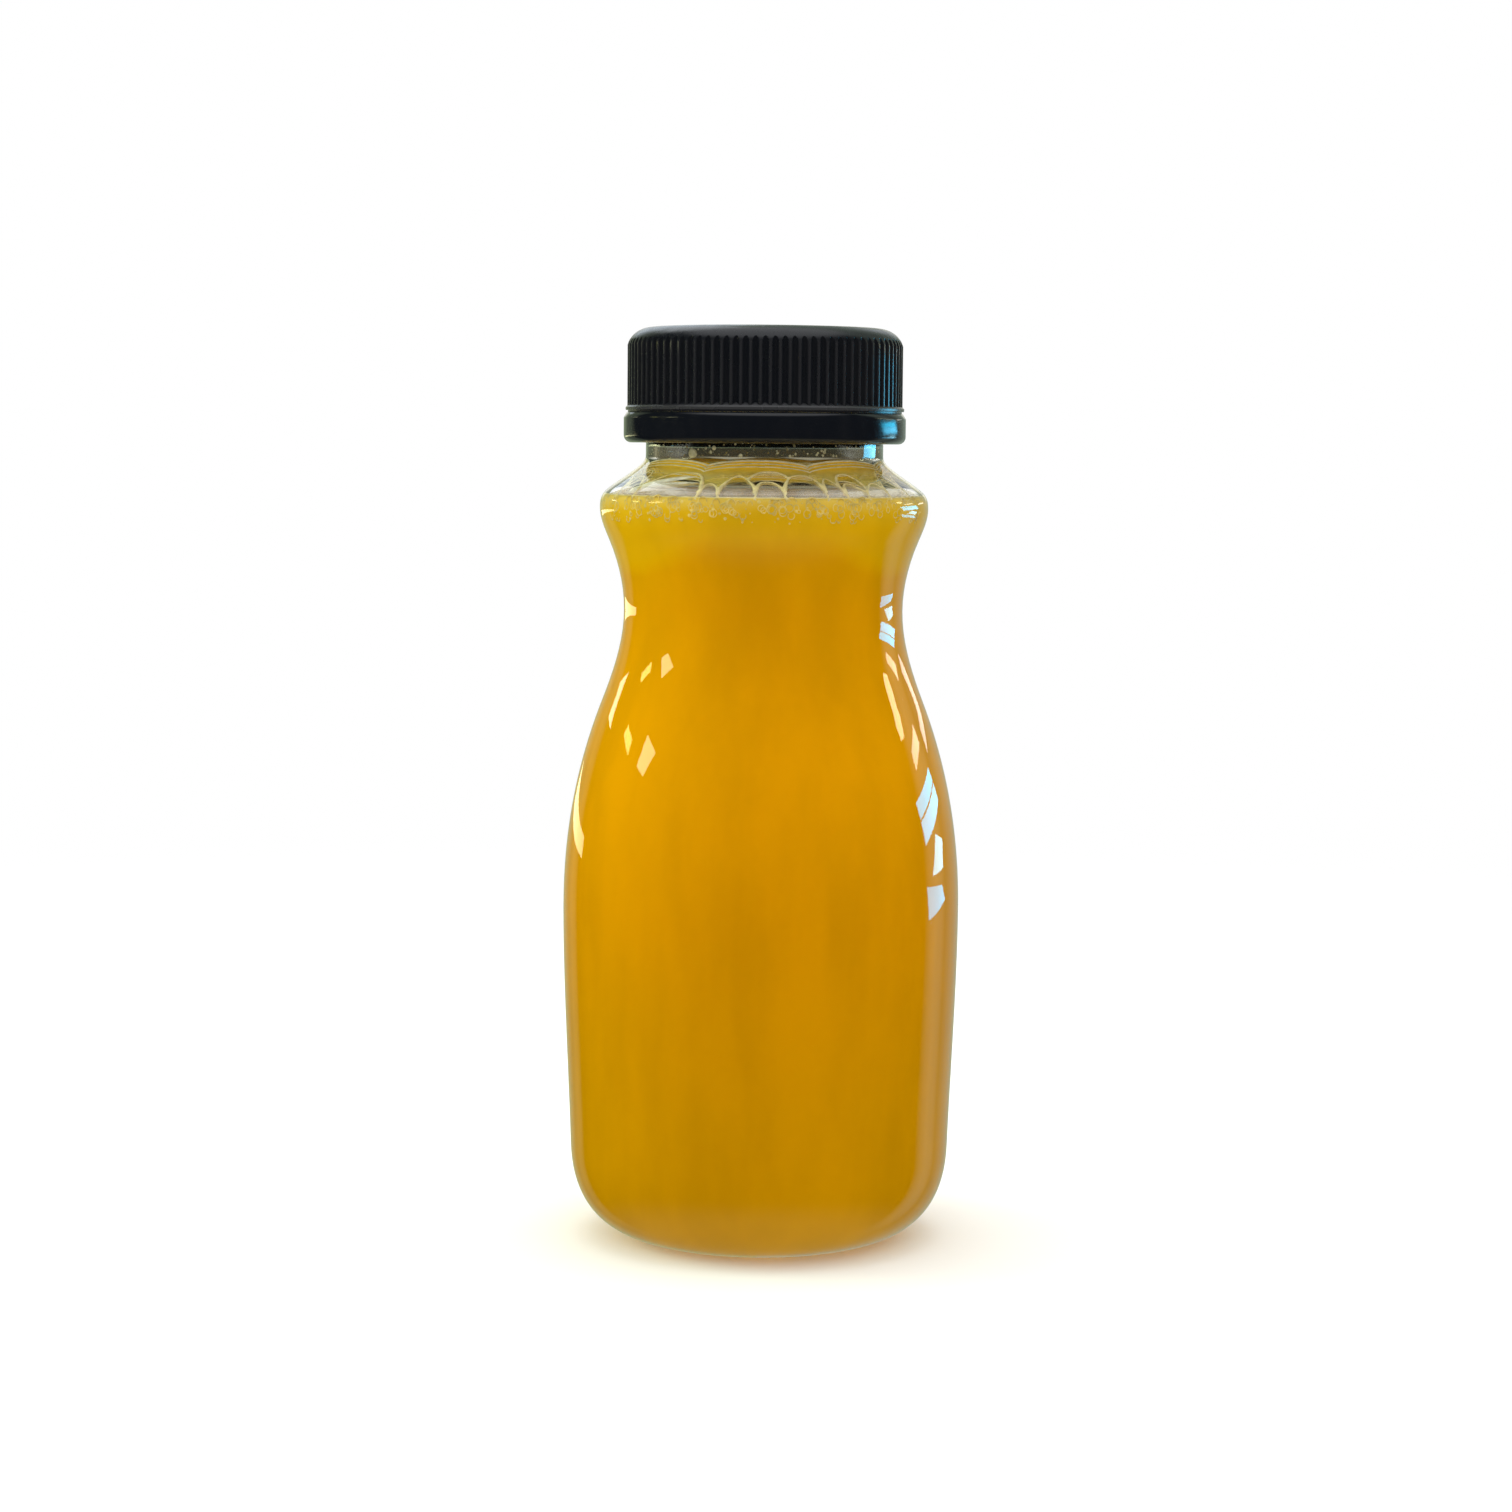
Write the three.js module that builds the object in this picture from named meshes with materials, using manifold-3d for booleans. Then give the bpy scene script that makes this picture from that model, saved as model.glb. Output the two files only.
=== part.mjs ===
// A clear plastic bottle of orange juice, filled to its shoulder and shut with a black screw cap.
// The bottle is blown from clear plastic: a waisted round body on a rounded heel, a bulged
// shoulder and a wide neck. The juice fills it to the shoulder, a raft of foam bubbles lies on
// the juice, and the ribbed cap sits on the neck above its tamper band.
// Millimetres, +Z up. The origin is the centre of the base, on the surface that it stands on.

import * as THREE from "three";
import { mergeVertices } from "three/addons/utils/BufferGeometryUtils.js";
import Module from "manifold-3d";

const wasm = await Module();
wasm.setup();

// Driving dimensions of the bottle
const FACETS = 40;
const CHORD_ERROR = 0.08;
const CLEARANCE = 0.3;
const FOOT_INNER_RADIUS = 13.2;
const FOOT_OUTER_RADIUS = 15.6;
const PUSH_UP_HEIGHT = 4;
const HEEL_HEIGHT = 13.6;
const HEEL_REACH_OUT = 7.1;
const HEEL_REACH_DOWN = 9.6;
const HEEL_STEPS = 6;
const NECK_RADIUS = 17.65;
const NECK_START = 117.2;
const MOUTH_HEIGHT = 134;
const BODY_WALL = 0.6;
const NECK_WALL = 1.5;
const BASE_WALL = 1;
const LIP_ROUND = 0.5;

// The outside of the wall from heel to neck. A station is [height, radius, slope], where slope
// is the radius gained for each millimetre of height.
const WALL_STATIONS = [
  [HEEL_HEIGHT, 28.47, 0.034], // top of the heel
  [50, 29.7, 0], // belly, the widest place
  [80.8, 24, -0.39], // flank
  [94.3, 20.8, 0], // waist
  [104.7, 23.05, 0.42], // under the shoulder
  [109.5, 24.45, 0], // shoulder bulge
  [112.4, 23.1, -1.3], // shoulder slope
  [115.9, 18.3, -1.1], // foot of the neck
  [NECK_START, NECK_RADIUS, 0],
];

// The bead on the neck that keeps the tamper band on
const BEAD_BOTTOM = 120.9;
const BEAD_HEIGHT = 1.2;
const BEAD_RADIUS = 18.95;

// Juice and foam
const JUICE_LEVEL = 111.1;
const FOAM_TOP = 116.6;
const FOAM_CORE_THICKNESS = 0.5;

// Cap
const RIBS = 90;
const CAP_RADIUS = 20.45;
const GROOVE_DEPTH = 0.45;
const GROOVE_SHARE = 0.5;
const CAP_BOTTOM = 123.9;
const CAP_TOP = 136.1;
const CAP_BORE_RADIUS = 19.05;
const CAP_EDGE_WIDTH = 3.6;
const CAP_EDGE_HEIGHT = 3.4;
const FLANGE_RADIUS = 20.7;
const FLANGE_HEIGHT = 0.6;
const RIB_BOTTOM = 124.9;
const RIB_TOP = 133.9;
const DISC_UNDERSIDE = MOUTH_HEIGHT + CLEARANCE;

// Tamper band
const BAND_BOTTOM = 119.1;
const BAND_TOP = 123.6;
const BAND_RADIUS = 20.97;
const BAND_TOP_RADIUS = 20.5;
const BAND_BEVEL_HEIGHT = 0.75;
const BAND_BOTTOM_ROUND = 0.5;
const BAND_BORE_RADIUS = 19.35;
const BAND_LIP_RADIUS = 18.2;
const BAND_LIP_HEIGHT = 0.8;

const turn = 2 * Math.PI;

// A cubic between two stations that meets each one's radius and slope.
function hermite([z0, r0, slope0], [z1, r1, slope1], t) {
  const span = z1 - z0;
  const rise = t * t * (3 - 2 * t);
  const leaving = t * (1 - t) ** 2 * span * slope0;
  const arriving = t * t * (t - 1) * span * slope1;
  return r0 + (r1 - r0) * rise + leaving + arriving;
}

// Points [radius, height] on a quarter ellipse, from `from` degrees to `to` degrees.
function ellipseArc(centreR, centreZ, radiusR, radiusZ, from, to, steps) {
  const points = [];
  for (let i = 0; i <= steps; i++) {
    const a = THREE.MathUtils.degToRad(from + ((to - from) * i) / steps);
    points.push([centreR + radiusR * Math.cos(a), centreZ + radiusZ * Math.sin(a)]);
  }
  return points;
}

// The heel as points [radius, height]: a curve that leaves the foot ring flat and meets the
// straight of the wall along its slope.
function heel() {
  const [, topRadius, topSlope] = WALL_STATIONS[0];
  const curve = new THREE.CubicBezierCurve(
    new THREE.Vector2(FOOT_OUTER_RADIUS, 0),
    new THREE.Vector2(FOOT_OUTER_RADIUS + HEEL_REACH_OUT, 0),
    new THREE.Vector2(topRadius - topSlope * HEEL_REACH_DOWN, HEEL_HEIGHT - HEEL_REACH_DOWN),
    new THREE.Vector2(topRadius, HEEL_HEIGHT),
  );
  return curve.getPoints(HEEL_STEPS).map(({ x, y }) => [x, y]);
}

// The outside of the wall as points [radius, height], from the foot ring up to the neck, with as
// many steps in each span as its bend needs.
function outerWall() {
  const points = heel();
  for (let s = 1; s < WALL_STATIONS.length; s++) {
    const [below, above] = [WALL_STATIONS[s - 1], WALL_STATIONS[s]];
    const length = Math.hypot(above[0] - below[0], above[1] - below[1]);
    const bend = Math.abs(Math.atan(above[2]) - Math.atan(below[2]));
    const steps = Math.ceil(Math.sqrt((length * bend) / (8 * CHORD_ERROR)));
    for (let i = 1; i <= steps; i++) {
      const t = i / steps;
      points.push([hermite(below, above, t), below[0] + (above[0] - below[0]) * t]);
    }
  }
  return points;
}

// The underside of the base: a shallow dome from the axis out to the foot ring.
function pushUp(lift, reach) {
  return ellipseArc(0, lift, reach, PUSH_UP_HEIGHT, 90, 0, 3).slice(0, -1);
}

// Wall thickness at a height: thin in the body, thicker in the base and towards the neck.
function wallAt(z) {
  const towardsNeck = THREE.MathUtils.smoothstep(z, 112.5, NECK_START);
  const towardsBase = 1 - THREE.MathUtils.smoothstep(z, 0, HEEL_HEIGHT);
  return BODY_WALL + (NECK_WALL - BODY_WALL) * towardsNeck + (BASE_WALL - BODY_WALL) * towardsBase;
}

// The outer wall moved inwards along its own normal, by the wall thickness and a further gap.
function innerWall(gap) {
  const outside = outerWall();
  return outside.map(([r, z], i) => {
    const before = outside[Math.max(i - 1, 0)];
    const after = outside[Math.min(i + 1, outside.length - 1)];
    const along = new THREE.Vector2(after[0] - before[0], after[1] - before[1]).normalize();
    const inwards = wallAt(z) + gap;
    return [r - along.y * inwards, z + along.x * inwards];
  });
}

// A solid of revolution about Z from a profile of [radius, height] points.
function revolve(profile, facets = FACETS) {
  const points = profile.map(([r, z]) => new THREE.Vector2(r, z));
  return new THREE.LatheGeometry(points, facets).rotateX(Math.PI / 2);
}

// A solid of revolution whose profile is a closed outline off the axis.
function revolveRing(outline, facets = FACETS) {
  return revolve([...outline, outline[0]], facets);
}

// Geometry to manifold solid and back, for the pieces that need a boolean.
function toSolid(geometry) {
  const bare = geometry.clone();
  bare.deleteAttribute("normal");
  bare.deleteAttribute("uv");
  const merged = mergeVertices(bare, 1e-4);
  return new wasm.Manifold(
    new wasm.Mesh({
      numProp: 3,
      vertProperties: new Float32Array(merged.attributes.position.array),
      triVerts: new Uint32Array(merged.index.array),
    }),
  );
}

function toGeometry(solid) {
  const { vertProperties, triVerts } = solid.getMesh();
  const geometry = new THREE.BufferGeometry();
  geometry.setAttribute("position", new THREE.BufferAttribute(vertProperties, 3));
  geometry.setIndex(new THREE.BufferAttribute(triVerts, 1));
  geometry.computeVertexNormals();
  return geometry;
}

// Bottle: one wall of clear plastic, from the pushed-up base to the open mouth
function bottleGeometry() {
  const rim = MOUTH_HEIGHT - LIP_ROUND;
  const bore = NECK_RADIUS - NECK_WALL;
  const bead = [
    [NECK_RADIUS, BEAD_BOTTOM],
    [BEAD_RADIUS, BEAD_BOTTOM],
    [BEAD_RADIUS, BEAD_BOTTOM + BEAD_HEIGHT / 2],
    [NECK_RADIUS, BEAD_BOTTOM + BEAD_HEIGHT],
  ];
  const profile = [
    ...pushUp(0, FOOT_INNER_RADIUS),
    [FOOT_INNER_RADIUS, 0],
    ...outerWall(),
    ...bead,
    ...ellipseArc(NECK_RADIUS - LIP_ROUND, rim, LIP_ROUND, LIP_ROUND, 0, 90, 2),
    ...ellipseArc(bore + LIP_ROUND, rim, LIP_ROUND, LIP_ROUND, 90, 180, 2),
    ...innerWall(0).reverse(),
    ...pushUp(BASE_WALL, FOOT_INNER_RADIUS).reverse(),
  ];
  return revolve(profile);
}

// Juice: fills the bottle up to its level, just clear of the wall
function juiceGeometry() {
  const side = innerWall(CLEARANCE).filter(([, z]) => z < JUICE_LEVEL - CLEARANCE);
  const rimRadius = radiusOnWall(CLEARANCE, JUICE_LEVEL);
  const profile = [
    ...pushUp(BASE_WALL + CLEARANCE, FOOT_INNER_RADIUS),
    ...side,
    [rimRadius, JUICE_LEVEL],
    [0, JUICE_LEVEL],
  ];
  return revolve(profile);
}

// The radius of the inner wall, less a gap, where it passes a height.
function radiusOnWall(gap, height) {
  const wall = innerWall(gap);
  const above = wall.findIndex(([, z]) => z > height);
  const [[r0, z0], [r1, z1]] = [wall[above - 1], wall[above]];
  return r0 + ((r1 - r0) * (height - z0)) / (z1 - z0);
}

// Foam: domed bubbles fused on a thin raft, cut to the inside of the shoulder.
// A bubble is [degrees round from the front towards +X, radius, lift of its centre], and it
// touches the wall. The front ones stand where they show, and the rest follow the same sizes.
const WALL_BUBBLES = [
  [-62, 3.4, 0.6],
  [-39, 5, -1.4],
  [-21, 2.1, 0.4],
  [-10, 2.9, 0.3],
  [2, 2.6, 0.2],
  [15, 3.3, 0.6],
  [26, 1.9, 1.4],
  [35, 1.8, 1],
  [44, 2, 0.6],
  [59, 4, 0],
];
const BACK_SIZES = [4.6, 3.2, 5.4, 2.8];
const INNER_RINGS = [
  { count: 8, distance: 14, sizes: [4.6, 5.6, 3.8], lift: -1 },
  { count: 3, distance: 5, sizes: [5.4, 4.4, 6], lift: -1.6 },
];
const BUBBLE_SIDES = 8;
const BUBBLE_SINK = 0.9;

function bubblePlaces() {
  const wallRadius = radiusOnWall(CLEARANCE, JUICE_LEVEL);
  const onWall = ([degrees, radius, lift]) => {
    return { degrees, radius, lift, distance: wallRadius - 0.75 * radius };
  };
  const places = WALL_BUBBLES.map(onWall);
  const [first, last] = [WALL_BUBBLES[0], WALL_BUBBLES[WALL_BUBBLES.length - 1]];
  let degrees = last[0] + 10;
  for (let i = 0; degrees < first[0] + 340; i++) {
    const radius = BACK_SIZES[i % BACK_SIZES.length];
    const halfWidth = THREE.MathUtils.radToDeg((0.95 * radius) / wallRadius);
    places.push(onWall([degrees + halfWidth, radius, -0.2 * radius]));
    degrees += 2 * halfWidth;
  }
  for (const { count, distance, sizes, lift } of INNER_RINGS) {
    for (let i = 0; i < count; i++) {
      places.push({ degrees: (360 * i) / count, radius: sizes[i % sizes.length], lift, distance });
    }
  }
  return places;
}

function foamGeometry() {
  const bottom = JUICE_LEVEL + CLEARANCE;
  const wall = innerWall(CLEARANCE).filter(([, z]) => z > bottom + 0.2 && z < FOAM_TOP - 0.2);
  const space = toSolid(
    revolve([
      [0, bottom],
      [radiusOnWall(CLEARANCE, bottom), bottom],
      ...wall,
      [radiusOnWall(CLEARANCE, FOAM_TOP), FOAM_TOP],
      [0, FOAM_TOP],
    ]),
  );
  const raftTop = bottom + FOAM_CORE_THICKNESS;
  const raftRadius = radiusOnWall(CLEARANCE, bottom) - 1;
  const raft = toSolid(revolve([[0, bottom], [raftRadius, bottom], [raftRadius, raftTop], [0, raftTop]]));
  const bubbles = bubblePlaces().map(({ degrees, radius, lift, distance }) => {
    const around = THREE.MathUtils.degToRad(degrees);
    const ball = new THREE.SphereGeometry(radius, BUBBLE_SIDES, BUBBLE_SIDES - 3).rotateX(Math.PI / 2);
    ball.rotateZ(around);
    ball.translate(distance * Math.sin(around), -distance * Math.cos(around), bottom + BUBBLE_SINK + lift);
    return toSolid(ball);
  });
  const heap = wasm.Manifold.union([raft, ...bubbles]);
  return toGeometry(heap.intersect(space));
}

// Cap: a disc with a rounded edge over a ribbed skirt, with a plain flange round its foot

// The ribbed outline of the skirt: flat crests with a groove between each two.
function ribbedOutline() {
  const pitch = turn / RIBS;
  const corners = [];
  for (let i = 0; i < RIBS; i++) {
    const groove = i * pitch;
    corners.push([groove - (pitch * GROOVE_SHARE) / 2, CAP_RADIUS]);
    corners.push([groove, CAP_RADIUS - GROOVE_DEPTH]);
    corners.push([groove + (pitch * GROOVE_SHARE) / 2, CAP_RADIUS]);
  }
  return corners.map(([angle, r]) => new THREE.Vector2(r * Math.cos(angle), r * Math.sin(angle)));
}

function capGeometry() {
  const crown = revolve([
    [0, RIB_TOP],
    ...ellipseArc(
      CAP_RADIUS - CAP_EDGE_WIDTH,
      CAP_TOP - CAP_EDGE_HEIGHT,
      CAP_EDGE_WIDTH,
      CAP_EDGE_HEIGHT,
      THREE.MathUtils.radToDeg(Math.asin(1 - (CAP_TOP - RIB_TOP) / CAP_EDGE_HEIGHT)),
      90,
      4,
    ),
    [0, CAP_TOP],
  ]);
  const skirt = new THREE.ExtrudeGeometry(new THREE.Shape(ribbedOutline()), {
    depth: RIB_TOP - RIB_BOTTOM,
    bevelEnabled: false,
  }).translate(0, 0, RIB_BOTTOM);
  const flange = revolve([
    [0, CAP_BOTTOM],
    [FLANGE_RADIUS, CAP_BOTTOM],
    [FLANGE_RADIUS, CAP_BOTTOM + FLANGE_HEIGHT],
    [CAP_RADIUS, RIB_BOTTOM],
    [0, RIB_BOTTOM],
  ]);
  const bore = revolve([
    [0, CAP_BOTTOM - 1],
    [CAP_BORE_RADIUS, CAP_BOTTOM - 1],
    [CAP_BORE_RADIUS, DISC_UNDERSIDE],
    [0, DISC_UNDERSIDE],
  ]);
  const body = toSolid(skirt).add(toSolid(crown)).add(toSolid(flange));
  return toGeometry(body.subtract(toSolid(bore)));
}

// Tamper band: the ring left on the neck when the cap is first opened, caught under the bead
function bandGeometry() {
  const lipTop = BAND_BOTTOM + BAND_LIP_HEIGHT;
  const outline = [
    [BAND_LIP_RADIUS, BAND_BOTTOM],
    ...ellipseArc(
      BAND_RADIUS - BAND_BOTTOM_ROUND,
      BAND_BOTTOM + BAND_BOTTOM_ROUND,
      BAND_BOTTOM_ROUND,
      BAND_BOTTOM_ROUND,
      -90,
      0,
      3,
    ),
    [BAND_RADIUS, BAND_TOP - BAND_BEVEL_HEIGHT],
    [BAND_TOP_RADIUS, BAND_TOP],
    [BAND_BORE_RADIUS, BAND_TOP],
    [BAND_BORE_RADIUS, lipTop + 0.5],
    [BAND_LIP_RADIUS, lipTop],
  ];
  return revolveRing(outline);
}

const clearPlastic = new THREE.MeshStandardMaterial({
  color: 0xe9efe6,
  roughness: 0.05,
  metalness: 0,
  transparent: true,
  opacity: 0.3,
});
const orangeJuice = new THREE.MeshStandardMaterial({ color: 0xd18f06, roughness: 0.35, metalness: 0 });
const paleFoam = new THREE.MeshStandardMaterial({ color: 0xe6c860, roughness: 0.3, metalness: 0 });
const blackPlastic = new THREE.MeshStandardMaterial({ color: 0x14161c, roughness: 0.3, metalness: 0 });

function piece(name, geometry, material) {
  const mesh = new THREE.Mesh(geometry, material);
  mesh.name = name;
  return mesh;
}

const bottleOfJuice = new THREE.Group();
bottleOfJuice.name = "bottle_of_orange_juice";
bottleOfJuice.add(
  piece("bottle", bottleGeometry(), clearPlastic),
  piece("juice", juiceGeometry(), orangeJuice),
  piece("foam", foamGeometry(), paleFoam),
  piece("cap", capGeometry(), blackPlastic),
  piece("tamper_band", bandGeometry(), blackPlastic),
);

export default bottleOfJuice;
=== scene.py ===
import math
import random

import bpy
from mathutils import Matrix, Vector, noise


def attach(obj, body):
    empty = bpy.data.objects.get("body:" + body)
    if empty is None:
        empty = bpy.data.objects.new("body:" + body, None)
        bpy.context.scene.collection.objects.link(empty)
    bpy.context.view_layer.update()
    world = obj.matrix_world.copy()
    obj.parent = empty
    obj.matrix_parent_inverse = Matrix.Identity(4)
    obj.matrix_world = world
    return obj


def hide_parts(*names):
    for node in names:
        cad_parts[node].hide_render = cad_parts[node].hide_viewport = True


# A small clear bottle of orange juice with a black screw cap, dressed for a plain pale studio.
# Shapes are worked out in millimetres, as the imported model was, and written to the meshes in metres.
# Angles round the bottle are in degrees from the front towards +X.

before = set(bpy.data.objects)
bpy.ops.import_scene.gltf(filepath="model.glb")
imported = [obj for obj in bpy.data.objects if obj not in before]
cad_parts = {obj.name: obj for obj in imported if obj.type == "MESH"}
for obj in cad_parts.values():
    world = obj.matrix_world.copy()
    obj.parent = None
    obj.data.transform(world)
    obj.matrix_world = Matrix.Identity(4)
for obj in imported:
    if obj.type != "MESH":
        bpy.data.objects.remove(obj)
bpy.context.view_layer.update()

MM = 0.001
FULL_TURN = 2 * math.pi
UP = Vector((0, 0, 1))

# Camera, from the photograph: its lens, its place in metres, and its tilt and roll in degrees
LENS_MM = 80.95
SENSOR_WIDTH_MM = 36
CAMERA_PLACE = (-0.0009, -0.5082, 0.1196)
CAMERA_TILT = 84.69
CAMERA_ROLL = 0.47

# Bottle
FOOT_INNER_RADIUS = 13.2
FOOT_OUTER_RADIUS = 15.6
PUSH_UP_HEIGHT = 4
PUSH_UP_STEPS = 12
HEEL_HEIGHT = 13.6
HEEL_REACH_OUT = 7.1
HEEL_REACH_DOWN = 9.6
HEEL_STEPS = 24
NECK_RADIUS = 17.65
NECK_START = 117.2
NECK_MIDDLE = 119.0
MOUTH_HEIGHT = 134
BODY_WALL = 0.6
NECK_WALL = 1.5
BASE_WALL = 1
THICKER_FROM = 112.5
LIP_ROUND = 0.5
BEAD_BOTTOM = 120.9
BEAD_HEIGHT = 1.2
BEAD_RADIUS = 18.95
WALL_SEGMENTS = 192

# The outside of the wall from heel to neck. A station is (height, radius, slope), where slope is
# the radius gained for each millimetre of height.
WALL_STATIONS = (
    (HEEL_HEIGHT, 28.47, 0.034),
    (50, 29.7, 0),
    (80.8, 24, -0.39),
    (94.3, 20.8, 0),
    (104.7, 23.05, 0.42),
    (109.5, 24.45, 0),
    (112.4, 23.1, -1.3),
    (115.9, 18.3, -1.1),
    (NECK_START, NECK_RADIUS, 0),
)
# Between stations the wall has a point for each step, and the steps are short from the shoulder up
BODY_STEP = 1.5
SHOULDER_STEP = 0.28
SHOULDER_START = 105

# Juice, which reaches just into the wall
JUICE_LEVEL = 111.1
JUICE_SEGMENTS = 160
INTO_WALL = 0.1

# Bubbles pressed to the inside of the wall. Each is given by where it ends and the height of its
# top, and starts where the last one ends.
FOAM_SEED = 7
FIRST_CELL_START = -65.5
FRONT_CELLS = (
    (-53.2, 113.6),
    (-24.3, 114.2),
    (-16.8, 112.9),
    (-3.3, 113.9),
    (7.4, 113.2),
    (22.7, 114.0),
    (30.7, 113.6),
    (39.9, 113.0),
    (50.7, 113.0),
    (63.0, 114.2),
    (78.0, 113.8),
)
# Smaller windows above the first row, as (start, end, top)
UPPER_CELLS = ((-7, 10.8, 114.45), (29.5, 41.5, 114.1), (-65, -56, 114.3))
RIM_DEPTH = 0.12

# Juice that clings to the shoulder. Its upper edge is scalloped, and ridges run under that edge,
# each as (drop, thickness). The lower ones are flatter.
SCALLOP_FOOT = 115.2
SCALLOP_HEIGHT = 1.2
SCALLOP_CUSP = -24
SCALLOP_WIDTH = 44.5
FILM_RIDGES = ((0.0, 0.23), (0.55, 0.13), (1.05, 0.14))
FLAT_RIDGE = 116.0

# Drops on the inside of the neck that the photograph shows, as (degrees, height, size)
LARGE_DROPS = ((-38.5, 117.55, 0.72), (-26, 118.4, 0.3), (-12, 117.3, 0.3), (31, 117.9, 0.25))

# Cap and tamper band. The crown's round has its centre CROWN_INSET in from the ribs.
RIBS = 90
SAMPLES_PER_RIB = 12
CAP_RADIUS = 20.45
GROOVE_DEPTH = 0.45
GROOVE_HALF = 0.38
CAP_BOTTOM = 123.9
CAP_TOP = 136.1
CAP_BORE_RADIUS = 19.05
CROWN_INSET = 3.6
CROWN_WIDTH = 3.7
CROWN_HEIGHT = 3.4
CROWN_FLAT_RADIUS = 8
FLANGE_RADIUS = 20.7
LEDGE_TOP = 124.35
LEDGE_SLOPE = 0.85
CAP_LIP_RADIUS = 20.35
CAP_LIP_BOTTOM = 123.62
DISC_UNDERSIDE = 134.3
BAND_BOTTOM = 119.1
BAND_TOP = 123.6
BAND_RADIUS = 20.97
BAND_TOP_RADIUS = 20.5
BAND_BEVEL_HEIGHT = 0.75
BAND_BOTTOM_ROUND = 1.1
BAND_BORE_RADIUS = 19.35
BAND_LIP_RADIUS = 18.2
BAND_LIP_HEIGHT = 0.8
BAND_LIP_SLOPE = 0.5
BAND_SEGMENTS = 256
SHARP_EDGE = math.radians(30)

# Studio
SOFT_WHITE = (1.12, 1.12, 1.09)
FLOOR_RADIUS = 600
PANEL_DISTANCE = 1.6
PANEL_CENTRE = Vector((0, 0, 0.07))
# How bright the room is in reflections, as (degrees, level)
ROOM_LEVELS = (
    (-180, 0.45),
    (-160, 0.4),
    (-150, 0.2),
    (-143, 0.25),
    (-138, 0.2),
    (-134, 0.0),
    (110, 0.0),
    (116, 0.38),
    (122, 0.5),
    (129, 0.4),
    (135, 0.18),
    (145, 0.32),
    (158, 0.42),
    (180, 0.45),
)


def smoothstep(x, low, high):
    t = min(max((x - low) / (high - low), 0), 1)
    return t * t * (3 - 2 * t)


# Camera

def make_camera():
    data = bpy.data.cameras.new("camera")
    data.sensor_fit = "HORIZONTAL"
    data.sensor_width = SENSOR_WIDTH_MM
    data.lens = LENS_MM
    data.clip_start = 0.01
    data.clip_end = 20
    camera = bpy.data.objects.new("camera", data)
    bpy.context.scene.collection.objects.link(camera)
    tilt = Matrix.Rotation(math.radians(CAMERA_TILT), 4, "X")
    roll = Matrix.Rotation(math.radians(CAMERA_ROLL), 4, "Z")
    camera.matrix_world = Matrix.Translation(CAMERA_PLACE) @ tilt @ roll
    bpy.context.scene.camera = camera


# Profiles of the bottle, as points (radius, height)

def hermite(below, above, t):
    """A cubic between two stations that meets each one's radius and slope."""
    (z0, r0, slope0), (z1, r1, slope1) = below, above
    span = z1 - z0
    leaving = t * (1 - t) ** 2 * span * slope0
    arriving = t * t * (t - 1) * span * slope1
    return r0 + (r1 - r0) * t * t * (3 - 2 * t) + leaving + arriving


def heel():
    """A curve that leaves the foot ring flat and meets the straight of the wall along its slope."""
    _, top_radius, top_slope = WALL_STATIONS[0]
    corners = (
        (FOOT_OUTER_RADIUS, 0),
        (FOOT_OUTER_RADIUS + HEEL_REACH_OUT, 0),
        (top_radius - top_slope * HEEL_REACH_DOWN, HEEL_HEIGHT - HEEL_REACH_DOWN),
        (top_radius, HEEL_HEIGHT),
    )
    points = []
    for i in range(HEEL_STEPS + 1):
        t = i / HEEL_STEPS
        weights = ((1 - t) ** 3, 3 * (1 - t) ** 2 * t, 3 * (1 - t) * t * t, t ** 3)
        points.append(tuple(sum(w * c[k] for w, c in zip(weights, corners)) for k in (0, 1)))
    return points


def outer_wall():
    """The outside of the wall from the foot ring up to the neck."""
    points = heel()
    for below, above in zip(WALL_STATIONS[:-1], WALL_STATIONS[1:]):
        step = BODY_STEP if above[0] < SHOULDER_START else SHOULDER_STEP
        steps = math.ceil((above[0] - below[0]) / step)
        for i in range(1, steps + 1):
            t = i / steps
            points.append((hermite(below, above, t), below[0] + (above[0] - below[0]) * t))
    return points


def wall_at(z):
    """Wall thickness at a height: thin in the body, thicker in the base and towards the neck."""
    towards_neck = smoothstep(z, THICKER_FROM, NECK_START)
    towards_base = 1 - smoothstep(z, 0, HEEL_HEIGHT)
    return BODY_WALL + (NECK_WALL - BODY_WALL) * towards_neck + (BASE_WALL - BODY_WALL) * towards_base


def inner_wall(gap=0.0):
    """The outer wall moved inwards along its normal, by the wall's thickness and a further gap."""
    outside = outer_wall()
    points = []
    for i, (r, z) in enumerate(outside):
        before, after = outside[max(i - 1, 0)], outside[min(i + 1, len(outside) - 1)]
        dr, dz = after[0] - before[0], after[1] - before[1]
        length = math.hypot(dr, dz)
        inwards = wall_at(z) + gap
        points.append((r - dz / length * inwards, z + dr / length * inwards))
    return points


INNER_WALL = inner_wall()


def inner_radius(z):
    """The radius of the inside of the wall at a height."""
    if z >= INNER_WALL[-1][1]:
        return INNER_WALL[-1][0]
    for (r0, z0), (r1, z1) in zip(INNER_WALL[:-1], INNER_WALL[1:]):
        if z0 <= z <= z1:
            return r0 + (r1 - r0) * (z - z0) / (z1 - z0)
    return INNER_WALL[0][0]


def arc(centre_r, centre_z, radius_r, radius_z, start, end, steps):
    """Points on an ellipse, from start to end in degrees."""
    angles = [math.radians(start + (end - start) * i / steps) for i in range(steps + 1)]
    return [(centre_r + radius_r * math.cos(a), centre_z + radius_z * math.sin(a)) for a in angles]


def push_up(lift):
    """The dome of the base from the axis out to just short of the foot ring."""
    dome = arc(0, lift, FOOT_INNER_RADIUS, PUSH_UP_HEIGHT, 90, 0, PUSH_UP_STEPS)
    return [(0, lift + PUSH_UP_HEIGHT), *dome[1:-1]]


# Meshes

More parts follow.
